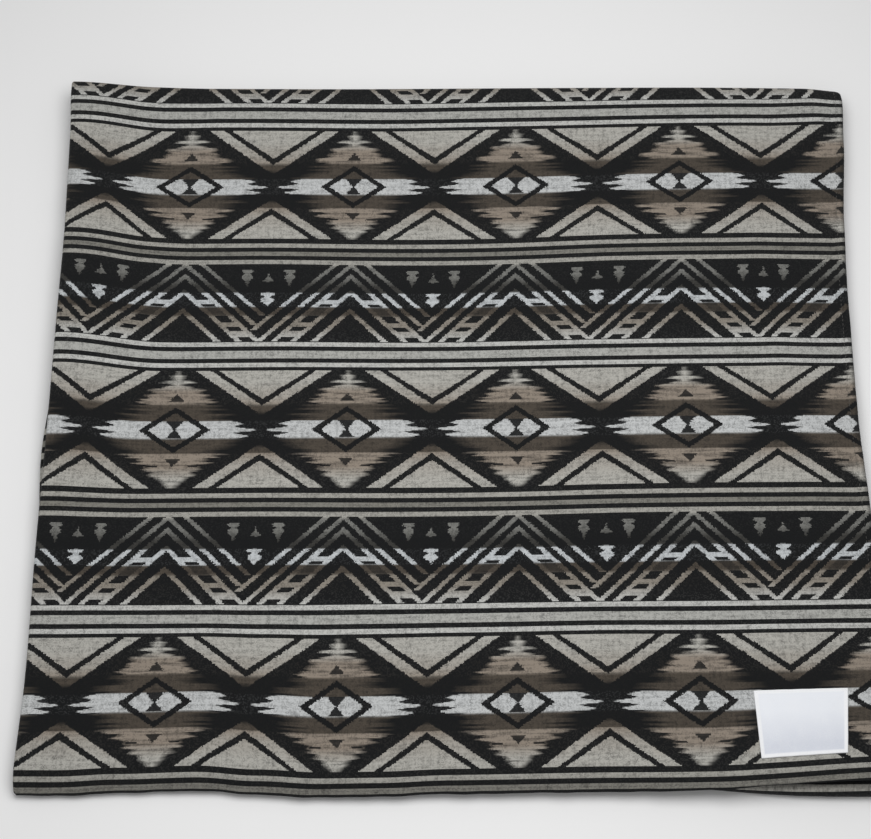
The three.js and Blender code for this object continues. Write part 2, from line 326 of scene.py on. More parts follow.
def stations(start, spans):
    """Places from a start through spans, each cut evenly into steps of about the span's own size."""
    places = [start]
    for end, step in spans:
        count = max(1, round(abs(end - places[-1]) / step))
        places.extend(np.linspace(places[-1], end, count + 1)[1:])
    return np.array(places)


# Columns from the inner leaf's hem round the side fold to the outer leaf's hem: the end and step of
# each span
TURN_STEPS = 8
TURN_SLACK = 0.001
outer_x = stations(turn_x, [
    (turn_x + 70, 4.6), (hem_x - 26, 5.6), (hem_x - 12, 3.4), (hem_x - 1, 1.5), (hem_x, 0.34),
])
inner_x = stations(hem_x, [(hem_x - 1, 0.5), (hem_x - 24, 8), (turn_x + 70, 24), (turn_x, 10)])
turn_angles = np.linspace(math.pi, 0, TURN_STEPS + 1)[1:-1]
column_x = np.concatenate([inner_x, np.full(len(turn_angles), turn_x), outer_x])
column_turn = np.concatenate([np.full(len(inner_x), math.pi), turn_angles, np.zeros(len(outer_x))])
on_inner = (column_turn > math.pi - TURN_SLACK).astype(float)
on_outer = (column_turn < TURN_SLACK).astype(float)
across_flat = np.where(
    on_inner > 0,
    turn_x - math.pi * LEAF_OFFSET - (column_x - turn_x),
    np.where(on_outer > 0, column_x, turn_x - LEAF_OFFSET * column_turn),
)
hem_distance = hem_x - column_x

# Rows from the top panel's front hem back and forth to the bottom panel's end, closer at both hems
PANEL_ROWS = dict(top=104, far_fold=12, middle=49, front_fold=10)
row_shares = dict(droop=stations(0, [(1, 0.34), (9, 1.5), (DROOP_FLAT, 2.2)]) / DROOP_FLAT)
for stretch_name, row_count in PANEL_ROWS.items():
    row_shares[stretch_name] = np.linspace(0, 1, row_count + 1)[1:]
row_shares["bottom"] = stations(
    0, [(1 - 6 / panel_length, 0.021), (1 - 1 / panel_length, 0.009), (1, 0.0006)],
)[1:]


def crease_height(x, y):
    """Height of the soft creases at a place of the top leaf."""
    height = 0
    for row in CREASES:
        angle = math.radians(row["turn"])
        along = (x - row["x"]) * math.cos(angle) + (y - row["y"]) * math.sin(angle)
        aside = (y - row["y"]) * math.cos(angle) - (x - row["x"]) * math.sin(angle)
        shape = np.exp(-(along / row["half_length"]) ** 2 - (aside / row["half_width"]) ** 2)
        height = height + row["height"] * shape
    return height


def hem_height(edge, place):
    """Height of a turned hem at a distance from its edge, with the dent of its stitches and a slight
    unevenness along it."""
    band = HEM_RAISED * (1 - ramp(edge, HEM_WIDTH - HEM_STEP, HEM_WIDTH + HEM_STEP))
    dent = HEM_DENT * bell(edge, HEM_STITCHED_AT, HEM_DENT_HALF)
    pucker = sum(np.sin(place / row["length"] + row["start"]) for row in HEM_PUCKERS)
    return band - dent + HEM_PUCKER * pucker * bell(edge, 0, HEM_PUCKER_FADE)


def top_relief(stretch, t, x):
    """What the top leaf has over the plain folded form: creases and hems."""
    if stretch not in ("droop", "top"):
        return 0 * t * x
    if stretch == "droop":
        y = front_y - (1 - t) * DROOP_FLAT + 0 * x
    else:
        y = front_y + t * panel_length + 0 * x
    side = hem_height(hem_x - x, y)
    front = hem_height(y - (front_y - DROOP_FLAT), x)
    fade = 1 - ramp(y, far_y - FAR_SMOOTH, far_y)
    return (crease_height(x, y) + np.maximum(side, front)) * fade


def from_edges(stretch, t):
    """Distance of every point of a stretch from the cloth's nearest edge."""
    edge = hem_distance[None, :] + 0 * t
    if stretch == "droop":
        edge = np.minimum(edge, t * DROOP_FLAT)
    if stretch == "bottom":
        edge = np.minimum(edge, (1 - t) * STRETCH_LENGTHS["bottom"])
    return edge


def cloth_grid(side, with_relief):
    """All points of the cloth's outer (1) or inner (-1) face, row by row."""
    rows = []
    for stretch, shares in row_shares.items():
        t = shares[:, None]
        x = column_x[None, :]
        roundness = rounded(from_edges(stretch, t), HALF_THICK, HEM_EDGE_LEAST)
        reach = LEAF_OFFSET + side * HALF_THICK * roundness
        if with_relief:
            reach = reach + top_relief(stretch, t, x) * on_outer * (1 if side > 0 else UNDER_RELIEF)
        rows.append(lay_cloth(stretch, t, x, column_turn, reach, on_outer, on_inner))
    return np.concatenate(rows)


# The weave's repeat: its size, the place of one figure's middle and its lean. The weave is drawn out
# over the droop, and over the hidden middle panel so far that the right stripe comes to lie on the
# lower front fold
REPEAT_X = 132.38
REPEAT_Y = 222.13
FIGURE_X = -216.3
FIGURE_Y = 205.1
LEAN_X = -0.94
LEAN_Y = 1.82
HIDDEN_DRAWN_OUT = dict(t=(0.1, 0.9), distance=84.0)
DROOP_DRAWN_OUT = 1.12
DROOP_POINTS = 40
droop_angles = np.linspace(0, DROOP_ANGLE, DROOP_POINTS)
droop_lengths = [
    ellipse_length(DROOP_REACH, DROOP_DROP, math.pi / 2, math.pi / 2 + angle) for angle in droop_angles
]

# Where folding pulled the weave askew: middle and reach of each place, and how far it slid
WEAVE_SLIDES = [
    dict(x=-18, y=120, reach_x=150, reach_y=150, forward=2.6),
    dict(x=-18, y=-90, reach_x=150, reach_y=70, forward=1.6),
    dict(x=-18, y=-225, reach_x=160, reach_y=100, forward=1.5),
    dict(x=250, y=-235, reach_x=180, reach_y=110, forward=0.8),
    dict(x=325, y=-300, reach_x=115, reach_y=80, forward=-4.0),
    dict(x=0, y=275, reach_x=900, reach_y=60, forward=-2.0),
    dict(x=-312, y=160, reach_x=82, reach_y=300, forward=-7.0),
    dict(x=-190, y=285, reach_x=160, reach_y=70, forward=-3.0),
    dict(x=-290, y=-290, reach_x=110, reach_y=70, forward=-0.8),
    dict(x=320, y=285, reach_x=70, reach_y=90, forward=-2.4),
    dict(x=-150, y=250, reach_x=130, reach_y=110, right=1.5),
    dict(x=255, y=170, reach_x=110, reach_y=120, right=1.7),
    dict(x=110, y=25, reach_x=120, reach_y=120, right=-2.6),
    dict(x=302, y=-45, reach_x=115, reach_y=140, right=5.2),
    dict(x=-155, y=-200, reach_x=120, reach_y=90, forward=1.0, right=-2.0),
    dict(x=45, y=-240, reach_x=230, reach_y=130, right=-2.1),
    dict(x=-285, y=0, reach_x=100, reach_y=900, right=-2.6),
    dict(x=90, y=85, reach_x=220, reach_y=60, right=-1.5),
    dict(x=330, y=215, reach_x=85, reach_y=95, right=3.2),
    dict(x=330, y=92, reach_x=85, reach_y=100, forward=1.0, right=3.0),
]


def weave_places():
    """Place of every grid point in the weave, counted in repeats across and along."""
    rows = []
    for stretch, shares in row_shares.items():
        t = shares[:, None]
        x = across_flat[None, :] + 0 * t
        if stretch == "droop":
            angle = DROOP_ANGLE * along_table(FRONT_LINE, column_x[None, :], "kept") * (1 - t)
            y = front_y - np.interp(angle, droop_angles, droop_lengths) * DROOP_DRAWN_OUT
        else:
            y = front_y + path_starts[stretch] - path_starts["top"] + t * STRETCH_LENGTHS[stretch]
        if stretch == "middle":
            y = y - HIDDEN_DRAWN_OUT["distance"] * ramp(t, *HIDDEN_DRAWN_OUT["t"])
        if stretch in ("front_fold", "bottom"):
            y = y - HIDDEN_DRAWN_OUT["distance"]
        y = y + 0 * x
        along = (FIGURE_Y - y) / REPEAT_Y
        across = (x - FIGURE_X - LEAN_X * along) / REPEAT_X
        along = along + LEAN_Y * across / REPEAT_Y
        for row in WEAVE_SLIDES:
            here = swell(row, x, y)
            along = along - row.get("forward", 0) * here / REPEAT_Y
            across = across - row.get("right", 0) * here / REPEAT_X
        rows.append(np.stack([across, along], axis=-1))
    return np.concatenate(rows)


def closed_sheet(name, outer, inner, places, map_name):
    """A thin closed mesh from the points of its two faces, with a UV map of its places."""
    rows, columns = outer.shape[:2]
    index = np.arange(rows * columns).reshape(rows, columns)
    under = index + rows * columns
    quads = []

    def add(a, b, c, d):
        quads.append(np.stack([a.ravel(), b.ravel(), c.ravel(), d.ravel()], axis=1))

    add(index[:-1, :-1], index[:-1, 1:], index[1:, 1:], index[1:, :-1])
    add(under[:-1, :-1], under[1:, :-1], under[1:, 1:], under[:-1, 1:])
    add(under[:-1, 0], index[:-1, 0], index[1:, 0], under[1:, 0])
    add(index[:-1, -1], under[:-1, -1], under[1:, -1], index[1:, -1])
    add(under[0, :-1], under[0, 1:], index[0, 1:], index[0, :-1])
    add(index[-1, :-1], index[-1, 1:], under[-1, 1:], under[-1, :-1])
    quads = np.concatenate(quads)
    points = np.concatenate([outer.reshape(-1, 3), inner.reshape(-1, 3)]) * MM
    mesh = bpy.data.meshes.new(name)
    mesh.from_pydata(points.tolist(), [], quads.tolist())
    layer = mesh.uv_layers.new(name=map_name)
    both = np.concatenate([places.reshape(-1, 2)] * 2)
    layer.uv.foreach_set("vector", both[quads.ravel()].astype(np.float32).ravel())
    mesh.shade_smooth()
    mesh.update()
    return mesh


def add_piece(name, mesh, material):
    """Puts a mesh into the scene at the origin, with its material."""
    mesh.materials.clear()
    mesh.materials.append(material)
    piece = bpy.data.objects.new(name, mesh)
    bpy.context.scene.collection.objects.link(piece)
    return piece


class Nodes:
    """Adds shader nodes to a material; each call gives the new node's output."""

    def __init__(self, name):
        self.material = bpy.data.materials.new(name)
        self.material.use_nodes = True
        self.tree = self.material.node_tree
        self.shader = self.tree.nodes["Principled BSDF"]

    def put(self, socket, value):
        if isinstance(value, bpy.types.NodeSocket):
            self.tree.links.new(value, socket)
        else:
            socket.default_value = value

    def math(self, operation, *values, clamp=False):
        node = self.tree.nodes.new("ShaderNodeMath")
        node.operation = operation
        node.use_clamp = clamp
        for socket, value in zip(node.inputs, values):
            self.put(socket, value)
        return node.outputs[0]

    def place(self, map_name):
        node = self.tree.nodes.new("ShaderNodeUVMap")
        node.uv_map = map_name
        parts = self.tree.nodes.new("ShaderNodeSeparateXYZ")
        self.tree.links.new(node.outputs["UV"], parts.inputs[0])
        return parts.outputs["X"], parts.outputs["Y"]

    def point(self, x, y, z=0.0):
        node = self.tree.nodes.new("ShaderNodeCombineXYZ")
        for socket, value in zip(node.inputs, (x, y, z)):
            self.put(socket, value)
        return node.outputs[0]

    def noise(self, point, scale, detail=2.0):
        node = self.tree.nodes.new("ShaderNodeTexNoise")
        self.put(node.inputs["Vector"], point)
        node.inputs["Scale"].default_value = scale
        node.inputs["Detail"].default_value = detail
        return node.outputs[0]

    def scaled(self, x, y, by_x, by_y):
        return self.point(self.math("MULTIPLY", x, by_x), self.math("MULTIPLY", y, by_y))

    def streaks(self, x, y, spread):
        """Soft streaks, so many across and along to a repeat."""
        place = self.scaled(x, y, spread["across"], spread["along"])
        return self.noise(place, 1.0, spread["detail"])

    def speckle(self, point):
        node = self.tree.nodes.new("ShaderNodeTexWhiteNoise")
        node.noise_dimensions = "3D"
        self.put(node.inputs["Vector"], point)
        return node.outputs["Value"]

    def mix(self, share, first, second):
        node = self.tree.nodes.new("ShaderNodeMix")
        node.data_type = "RGBA"
        self.put(node.inputs["Factor"], share)
        self.put(node.inputs["A"], first)
        self.put(node.inputs["B"], second)
        return node.outputs["Result"]

    def steps(self, value, stops, blending="CONSTANT"):
        """Colours that change at given places, or blend from each place to the next."""
        node = self.tree.nodes.new("ShaderNodeValToRGB")
        colours = node.color_ramp
        colours.interpolation = blending
        for number, (place, colour) in enumerate(stops):
            stop = colours.elements[number] if number < 2 else colours.elements.new(place)
            stop.position = place
            stop.color = colour
        self.put(node.inputs["Fac"], value)
        return node.outputs["Color"]

    def edge(self, value, points):
        """A half-width for each place, by straight lines between given points."""
        low = points[0][0]
        high = points[-1][0]
        node = self.tree.nodes.new("ShaderNodeFloatCurve")
        curve = node.mapping.curves[0]
        node.mapping.use_clip = True
        for number, (place, width) in enumerate(points):
            share = (place - low) / (high - low)
            knot = curve.points[number] if number < 2 else curve.points.new(share, width)
            knot.location = (share, width)
        for knot in curve.points:
            knot.handle_type = "VECTOR"
        node.mapping.update()
        along = self.math("MULTIPLY_ADD", value, 1 / (high - low), -low / (high - low))
        self.put(node.inputs["Value"], along)
        return node.outputs[0]

    def band(self, value, low, high):
        return self.math("COMPARE", value, (low + high) / 2, (high - low) / 2)

    def rising(self, along, start, slope, clamp=False):
        """What grows along the rows from 0 at start."""
        return self.math("MULTIPLY_ADD", along, slope, -slope * start, clamp=clamp)

    def slanting(self, across, along, line):
        """1 inside a slanting line that leaves the middle at its start."""
        middle = self.rising(along, line["start"], line["slope"])
        return self.math("COMPARE", across, middle, line["half"])

    def diamond(self, across, along, size):
        """1 on the outline of a diamond of a given half-width and half-length, less inside it."""
        over = self.math("MULTIPLY", along, 1 / size["along"])
        return self.math("MULTIPLY_ADD", across, 1 / size["across"], over)

    def both(self, *masks):
        joined = masks[0]
        for mask in masks[1:]:
            joined = self.math("MULTIPLY", joined, mask)
        return joined

    def either(self, *masks):
        joined = masks[0]
        for mask in masks[1:]:
            joined = self.math("MAXIMUM", joined, mask)
        return joined

    def without(self, mask, taken):
        return self.math("SUBTRACT", mask, taken, clamp=True)

    def bump(self, height, strength, distance):
        node = self.tree.nodes.new("ShaderNodeBump")
        node.inputs["Strength"].default_value = strength
        node.inputs["Distance"].default_value = distance
        self.put(node.inputs["Height"], height)
        self.put(self.shader.inputs["Normal"], node.outputs["Normal"])


def shade(red, green, blue):
    """A colour given as it looks on a screen, from 0 to 255."""
    linear = []
    for part in (red, green, blue):
        part = part / 255
        linear.append(part / 12.92 if part < 0.04045 else ((part + 0.055) / 1.055) ** 2.4)
    return (*linear, 1.0)


# The yarns, and the weft colour of each row of the repeat, blending from row to row. Rows are counted
# from the middle of the stepped figure, as a share of the repeat, towards the front
CHARCOAL = shade(22, 23, 24)
LIGHT_GREY = shade(181, 179, 172)
BRIGHT_GREY = shade(196, 196, 192)
WIDE_GREY = shade(177, 177, 172)
# Painted shade: a darkened copy of the light grey, given to the thin light stripes in every repeat so
# that those on the front droop look shaded
SHADED_STRIPE_LIGHT = shade(166, 164, 157)
STRIPE_GREY = shade(131, 129, 122)
TAN = shade(146, 135, 123)
BROWN = shade(79, 72, 64)
OFF_WHITE = shade(199, 201, 201)
ASH = shade(122, 122, 118)
SOOT = shade(62, 61, 58)
COOL_WHITE = shade(196, 200, 202)
SAND_GREY = shade(143, 136, 126)
REPEAT_START = -0.24
WEFT_ROWS = [
    (-0.178, LIGHT_GREY), (-0.143, TAN), (-0.094, TAN), (-0.090, BROWN), (-0.029, BROWN),
    (-0.026, OFF_WHITE), (0.039, OFF_WHITE), (0.042, BROWN), (0.096, BROWN), (0.100, TAN),
    (0.151, TAN), (0.201, LIGHT_GREY), (0.267, SHADED_STRIPE_LIGHT), (0.283, STRIPE_GREY),
    (0.300, STRIPE_GREY), (0.315, SHADED_STRIPE_LIGHT), (0.338, SHADED_STRIPE_LIGHT), (0.350, ASH), (0.386, ASH),
    (0.428, SOOT), (0.456, SOOT), (0.459, COOL_WHITE), (0.514, COOL_WHITE), (0.518, BROWN),
    (0.548, BROWN), (0.558, SAND_GREY), (0.595, SAND_GREY), (0.652, BRIGHT_GREY),
    (0.677, BRIGHT_GREY), (0.692, WIDE_GREY), (0.724, WIDE_GREY), (0.741, BRIGHT_GREY),
]
PLAIN_STRIPES = [
    (0.245, 0.267), (0.283, 0.300), (0.315, 0.337), (0.655, 0.677), (0.692, 0.7235), (0.7405, 0.762),
]
BLACK = (0, 0, 0, 1)
WHITE = (1, 1, 1, 1)

# Threads and picks to a repeat, how far a thread strays, and the seeds of their unevenness
THREADS = 168
PICKS = 288
THREAD_STRAY = 0.010
YARN_SEED = 3.1
TOOTH_SEED = 0.71
TOOTH_PICKS = 0.5

# Half-widths of the stepped figure by row from its middle, as shares of the repeat's width
FIGURE_MIDDLE = 0.0067
FIGURE_EDGE = [
    (-0.232, 0.0), (-0.218, 0.0), (-0.214, 0.030), (-0.203, 0.026), (-0.199, 0.018), (-0.194, 0.018),
    (-0.192, 0.085), (-0.184, 0.085), (-0.182, 0.022), (-0.173, 0.026), (-0.171, 0.075), (-0.163, 0.080),
    (-0.161, 0.135), (-0.153, 0.140), (-0.150, 0.118), (-0.142, 0.122), (-0.140, 0.165), (-0.132, 0.170),
    (-0.129, 0.150), (-0.122, 0.155), (-0.119, 0.205), (-0.107, 0.215), (-0.104, 0.180), (-0.095, 0.185),
    (-0.078, 0.215), (-0.058, 0.250), (-0.036, 0.290), (-0.034, 0.315), (-0.029, 0.365), (-0.022, 0.392),
    (-0.014, 0.340), (-0.008, 0.370), (0.000, 0.478), (0.006, 0.440), (0.011, 0.330), (0.017, 0.365),
    (0.024, 0.432), (0.030, 0.400), (0.034, 0.310), (0.037, 0.285), (0.058, 0.250), (0.078, 0.225),
    (0.095, 0.195), (0.097, 0.250), (0.107, 0.245), (0.109, 0.170), (0.118, 0.170), (0.121, 0.205),
    (0.129, 0.200), (0.132, 0.140), (0.147, 0.135), (0.150, 0.150), (0.158, 0.145), (0.161, 0.105),
    (0.168, 0.105), (0.171, 0.115), (0.178, 0.108), (0.181, 0.075), (0.195, 0.062), (0.229, 0.0),
    (0.232, 0.0),
]
FIGURE_BLUR = 0.045
WHITE_ROWS = 0.0330
WHITE_BLUR = 0.014
BROWN_ROWS = (0.036, 0.096)
BROWN_BLUR = 0.13
TEETH = 0.24
BROWN_TEETH = 1.2
TAN_STREAKS = dict(across=5.0, along=95.0, detail=1.0, share=2.1)

# Left out of the figure: a small triangle over and under its ring, and two dashes
SMALL_TRIANGLE = dict(wide=0.203, slope=-1.43, first_row=0.112)
DASHES = dict(rows=(0.135, 0.143), columns=(0.085, 0.145))
LEFT_OUT = 0.92

# Its ring, the two eyes and the weft that fills the rest of the ring
RING_OUT = dict(across=0.205, along=0.0895)
RING_IN = dict(across=0.152, along=0.067)
RING_FILL = 0.85
RING_FILL_BY_EYES = 0.02
EYE_AT = 0.0765
EYE = dict(across=0.0710, along=0.0545)

# The slanting bands beside the figure, the big triangles between, and the grey over the tan there
SLANT = dict(wide=0.667, slope=-2.25, half=0.044, first_row=0.058, fade=60.0)
BIG_TRIANGLE = dict(wide=0.785, slope=-2.37, far_end=-0.2240, near_end=0.2300)
BESIDE = dict(column=0.215, column_fade=14.0, row=0.088, row_fade=22.0, share=0.66)

# The chevrons: the peak's line, the two with rungs between, the two outer ones, the small figures
CHEVRON_ROWS = (0.337, 0.655)
PEAK_LINE = dict(start=0.530, slope=1.68, half=0.019)
PEAK_FIRST_ROW = 0.522
LOW_LINE = dict(start=0.452, slope=1.65, half=0.018)
HIGH_LINE = dict(start=0.386, slope=1.67, half=0.018)
OUTER_LINES = [
    dict(start=0.338, slope=1.70, half=0.017, right_end=0.592, left_end=0.655),
    dict(start=0.282, slope=1.76, half=0.017, right_end=0.553, left_end=0.612),
]
LADDER_RUNGS = [(0.486, 0.502), (0.577, 0.593), (0.614, 0.637)]
BROWN_RUNG = (0.515, 0.553)
BROWN_RUNG_SHARE = 0.45
HOURGLASS_AT = 0.372
HOURGLASS_ROWS = (0.355, 0.445)
HOURGLASS_EDGE = [
    (0.35, 0.0), (0.361, 0.0), (0.363, 0.034), (0.372, 0.032), (0.376, 0.016), (0.382, 0.016),
    (0.386, 0.032), (0.397, 0.030), (0.403, 0.018), (0.434, 0.0), (0.45, 0.0),
]
ARROW_ROWS = (0.372, 0.518)
ARROW_EDGE = [
    (0.37, 0.0), (0.389, 0.004), (0.410, 0.036), (0.412, 0.0), (0.456, 0.0), (0.458, 0.042),
    (0.467, 0.040), (0.472, 0.018), (0.478, 0.018), (0.483, 0.040), (0.493, 0.040), (0.501, 0.018),
    (0.516, 0.0), (0.52, 0.0),
]

# Heather: how uneven the yarn is from crossing to crossing, and its streaks along the picks, streaks
# along the warp and mottling. Flecks of weft in the ground. Towards the cloth's edges the weft is
# darkened into the ground, which is painted shade along the edges
YARN_SHARE = 0.42
HEATHER_LEAST = -0.36
PICK_STREAKS = dict(across=7.0, along=120.0, detail=1.0, share=0.70)
WARP_STREAKS = dict(across=60.0, along=9.0, detail=1.0, share=0.50)
MOTTLING = dict(across=34.0, along=57.0, detail=2.0, share=0.80)
FLECK_YARN = 0.7
FLECK_SHARE = 0.06
EDGE_SHADE_WIDTH = 5.0
EDGE_SHADE_LEAST = 0.30

# Relief of the picks' ribs, the knots across them and the soft nap, in metres
KNOT_SHARE = 0.8
NAP = dict(across=60.0, along=110.0, detail=2.0)
RELIEF_STRENGTH = 0.55
RELIEF_DEPTH = 0.0006


def row_stops(rows):
    """Colour stops for rows that start at given places of the repeat."""
    return [(place - REPEAT_START, colour) for place, colour in rows]


def stripe_stops(stripes):
    """White from the start to the end of each stripe, black between, up to the repeat's end."""
    stops = [(0.0, BLACK)]
    for start, end in stripes:
        stops.append((start - REPEAT_START, WHITE))
        stops.append((end - REPEAT_START, BLACK))
    return [stop for stop in stops if stop[0] < 1]


def weave_material():
    """The cloth's weave: each weft's rows over the charcoal ground, charted from plain shapes."""
    n = Nodes("woven_cloth")
    across, along = n.place("weave")

    # Threads and picks: every shape steps from thread to thread and pick to pick, a little unevenly
    pick = n.math("FLOOR", n.math("MULTIPLY", along, PICKS))
    thread = n.math("FLOOR", n.math("MULTIPLY", across, THREADS))
    yarn = n.speckle(n.point(thread, pick, YARN_SEED))
    tooth = n.speckle(n.point(TOOTH_SEED, n.math("FLOOR", n.math("MULTIPLY", pick, TOOTH_PICKS))))
    row = n.math("DIVIDE", n.math("ADD", pick, 0.5), PICKS)
    column = n.math("DIVIDE", n.math("ADD", thread, 0.5), THREADS)
    column = n.math("MULTIPLY_ADD", n.math("SUBTRACT", yarn, 0.5), THREAD_STRAY, column)
    share = n.math("FRACT", n.math("SUBTRACT", row, REPEAT_START))
    v = n.math("ADD", share, REPEAT_START)
    from_middle = n.math("SUBTRACT", v, FIGURE_MIDDLE)
    away = n.math("ABSOLUTE", from_middle)
    u = n.math("PINGPONG", column, 0.5)

    # The stepped figure: ragged edges that fade into the ground, and small dark shapes left out of it
    in_white = n.math("LESS_THAN", away, WHITE_ROWS)
    in_brown = n.band(away, *BROWN_ROWS)
    sharp = n.math("MULTIPLY_ADD", in_white, 1 / WHITE_BLUR - 1 / FIGURE_BLUR, 1 / FIGURE_BLUR)
    sharp = n.math("MULTIPLY_ADD", in_brown, 1 / BROWN_BLUR - 1 / FIGURE_BLUR, sharp)
    ragged = n.math("MULTIPLY", n.math("SUBTRACT", tooth, 0.5), n.math("SUBTRACT", 1.0, in_white))
    ragged = n.math("MULTIPLY", ragged, n.math("MULTIPLY_ADD", in_brown, BROWN_TEETH, 1.0))
    edge = n.edge(from_middle, FIGURE_EDGE)
    edge = n.math("MULTIPLY", edge, n.math("MULTIPLY_ADD", ragged, TEETH, 1.0))
    figure = n.math("MULTIPLY_ADD", n.math("SUBTRACT", edge, u), sharp, 0.5, clamp=True)
    narrowing = n.math("MULTIPLY_ADD", away, SMALL_TRIANGLE["slope"], SMALL_TRIANGLE["wide"])
    triangle = n.math("LESS_THAN", u, narrowing)
    triangle = n.both(triangle, n.math("GREATER_THAN", away, SMALL_TRIANGLE["first_row"]))
    dashes = n.both(n.band(from_middle, *DASHES["rows"]), n.band(u, *DASHES["columns"]))
    figure = n.without(figure, n.math("MULTIPLY", n.either(triangle, dashes), LEFT_OUT))
    in_tan = n.math("GREATER_THAN", away, BROWN_ROWS[1])
    tan_streaks = n.math("SUBTRACT", n.streaks(across, along, TAN_STREAKS), 0.5)
    tan_streaks = n.math("MULTIPLY", tan_streaks, in_tan)
    streaky = n.math("MULTIPLY_ADD", tan_streaks, TAN_STREAKS["share"], 1.0)
    figure = n.math("MULTIPLY", figure, streaky)

    # The two white eyes in the middle, inside a dark ring
    outside = n.diamond(u, away, RING_OUT)
    inside = n.diamond(u, away, RING_IN)
    eye = n.diamond(n.math("ABSOLUTE", n.math("SUBTRACT", u, EYE_AT)), away, EYE)
    eye = n.both(n.math("LESS_THAN", eye, 1.0), in_white)
    fill = n.math("MULTIPLY_ADD", in_white, RING_FILL_BY_EYES - RING_FILL, RING_FILL)
    eye = n.both(n.either(eye, fill), n.math("LESS_THAN", inside, 1.0))
    figure = n.either(n.both(figure, n.math("GREATER_THAN", outside, 1.0)), eye)

    # The slanting bands beside it and the big triangles between the figures
    middle = n.math("MULTIPLY_ADD", away, SLANT["slope"], SLANT["wide"])
    slant = n.math("COMPARE", u, middle, SLANT["half"])
    slant = n.both(slant, n.rising(away, SLANT["first_row"], SLANT["fade"], clamp=True))
    side = n.math("MULTIPLY_ADD", away, BIG_TRIANGLE["slope"], BIG_TRIANGLE["wide"])
    big = n.math("GREATER_THAN", u, side)
    between = n.band(v, BIG_TRIANGLE["far_end"], BIG_TRIANGLE["near_end"])
    figure = n.both(n.either(figure, slant, big), between)

    # The chevrons: five slanting lines, the rungs between two of them, and the small figures
    lines = n.both(n.slanting(u, v, PEAK_LINE), n.math("GREATER_THAN", v, PEAK_FIRST_ROW))
    lines = n.either(lines, n.slanting(u, v, LOW_LINE), n.slanting(u, v, HIGH_LINE))
    rightward = n.math("FRACT", column)
    leftward = n.math("SUBTRACT", 1.0, rightward)
    for line in OUTER_LINES:
        right = n.both(n.slanting(rightward, v, line), n.math("LESS_THAN", v, line["right_end"]))
        left = n.both(n.slanting(leftward, v, line), n.math("LESS_THAN", v, line["left_end"]))
        lines = n.either(lines, right, left)
    rungs = n.steps(share, stripe_stops(LADDER_RUNGS))
    brown_rung = n.math("MULTIPLY", n.band(v, *BROWN_RUNG), BROWN_RUNG_SHARE)
    ladder = n.both(
        n.either(rungs, brown_rung),
        n.math("GREATER_THAN", u, n.rising(v, LOW_LINE["start"], LOW_LINE["slope"])),
        n.math("LESS_THAN", u, n.rising(v, HIGH_LINE["start"], HIGH_LINE["slope"])),
    )
    from_hourglass = n.math("ABSOLUTE", n.math("SUBTRACT", u, HOURGLASS_AT))
    hourglass = n.math("LESS_THAN", from_hourglass, n.edge(v, HOURGLASS_EDGE))
    hourglass = n.both(hourglass, n.band(v, *HOURGLASS_ROWS))
    from_arrow = n.math("SUBTRACT", 0.5, u)
    arrow = n.math("LESS_THAN", from_arrow, n.edge(v, ARROW_EDGE))
    arrow = n.both(arrow, n.band(v, *ARROW_ROWS))
    chevrons = n.both(n.either(lines, ladder, hourglass, arrow), n.band(v, *CHEVRON_ROWS))

    stripes = n.steps(share, stripe_stops(PLAIN_STRIPES))
    light = n.either(figure, chevrons, stripes)

    # Heather, flecks in the ground, and painted shade that darkens the weft towards the cloth's edges
    mottle = n.streaks(across, along, MOTTLING)
    uneven = n.math("MULTIPLY_ADD", yarn, YARN_SHARE, HEATHER_LEAST)
    for spread in (PICK_STREAKS, WARP_STREAKS):
        streak = n.streaks(across, along, spread)
        uneven = n.math("MULTIPLY_ADD", streak, spread["share"], uneven)
    uneven = n.math("MULTIPLY_ADD", mottle, MOTTLING["share"], uneven)
    light = n.math("MULTIPLY", light, uneven, clamp=True)
    fleck = n.math("MULTIPLY", mottle, FLECK_SHARE)
    fleck = n.math("MULTIPLY", n.math("GREATER_THAN", yarn, FLECK_YARN), fleck)
    light = n.math("MAXIMUM", light, fleck)
    # Painted shade: the weft fades into the charcoal ground within a few millimetres of every edge
    hem = n.tree.nodes.new("ShaderNodeAttribute")
    hem.attribute_name = "from_hem"
    shown = n.math("MULTIPLY_ADD", hem.outputs["Fac"], 1 / EDGE_SHADE_WIDTH, EDGE_SHADE_LEAST, clamp=True)
    light = n.math("MULTIPLY", light, shown)

    # Beside the figure the rows' tan is mostly covered with grey
    weft = n.steps(share, row_stops(WEFT_ROWS), "LINEAR")
    beside = n.rising(u, BESIDE["column"], BESIDE["column_fade"], clamp=True)
    beside = n.both(beside, between)
    beside = n.both(beside, n.rising(away, BESIDE["row"], BESIDE["row_fade"], clamp=True))
    weft = n.mix(n.math("MULTIPLY", beside, BESIDE["share"]), weft, LIGHT_GREY)
    n.put(n.shader.inputs["Base Color"], n.mix(light, CHARCOAL, weft))

    # Relief: the picks' ribs, broken from thread to thread, under a soft nap
    every_other = n.math("LESS_THAN", n.math("FRACT", n.math("MULTIPLY", pick, 0.5)), 0.25)
    rib = n.math("PINGPONG", n.math("MULTIPLY", along, PICKS), 0.5)
    shifted = n.math("MULTIPLY_ADD", across, THREADS, n.math("MULTIPLY", every_other, 0.5))
    knot = n.math("PINGPONG", shifted, 0.5)
    nap = n.streaks(across, along, NAP)
    height = n.math("ADD", rib, n.math("MULTIPLY_ADD", knot, KNOT_SHARE, nap))
    n.bump(height, RELIEF_STRENGTH, RELIEF_DEPTH)

    n.shader.inputs["Roughness"].default_value = 0.92
    n.shader.inputs["Specular IOR Level"].default_value = 0.15
    n.shader.inputs["Sheen Weight"].default_value = 0.10
    n.shader.inputs["Sheen Roughness"].default_value = 0.45
    n.shader.inputs["Sheen Tint"].default_value = (0.85, 0.85, 0.86, 1)
    return n.material


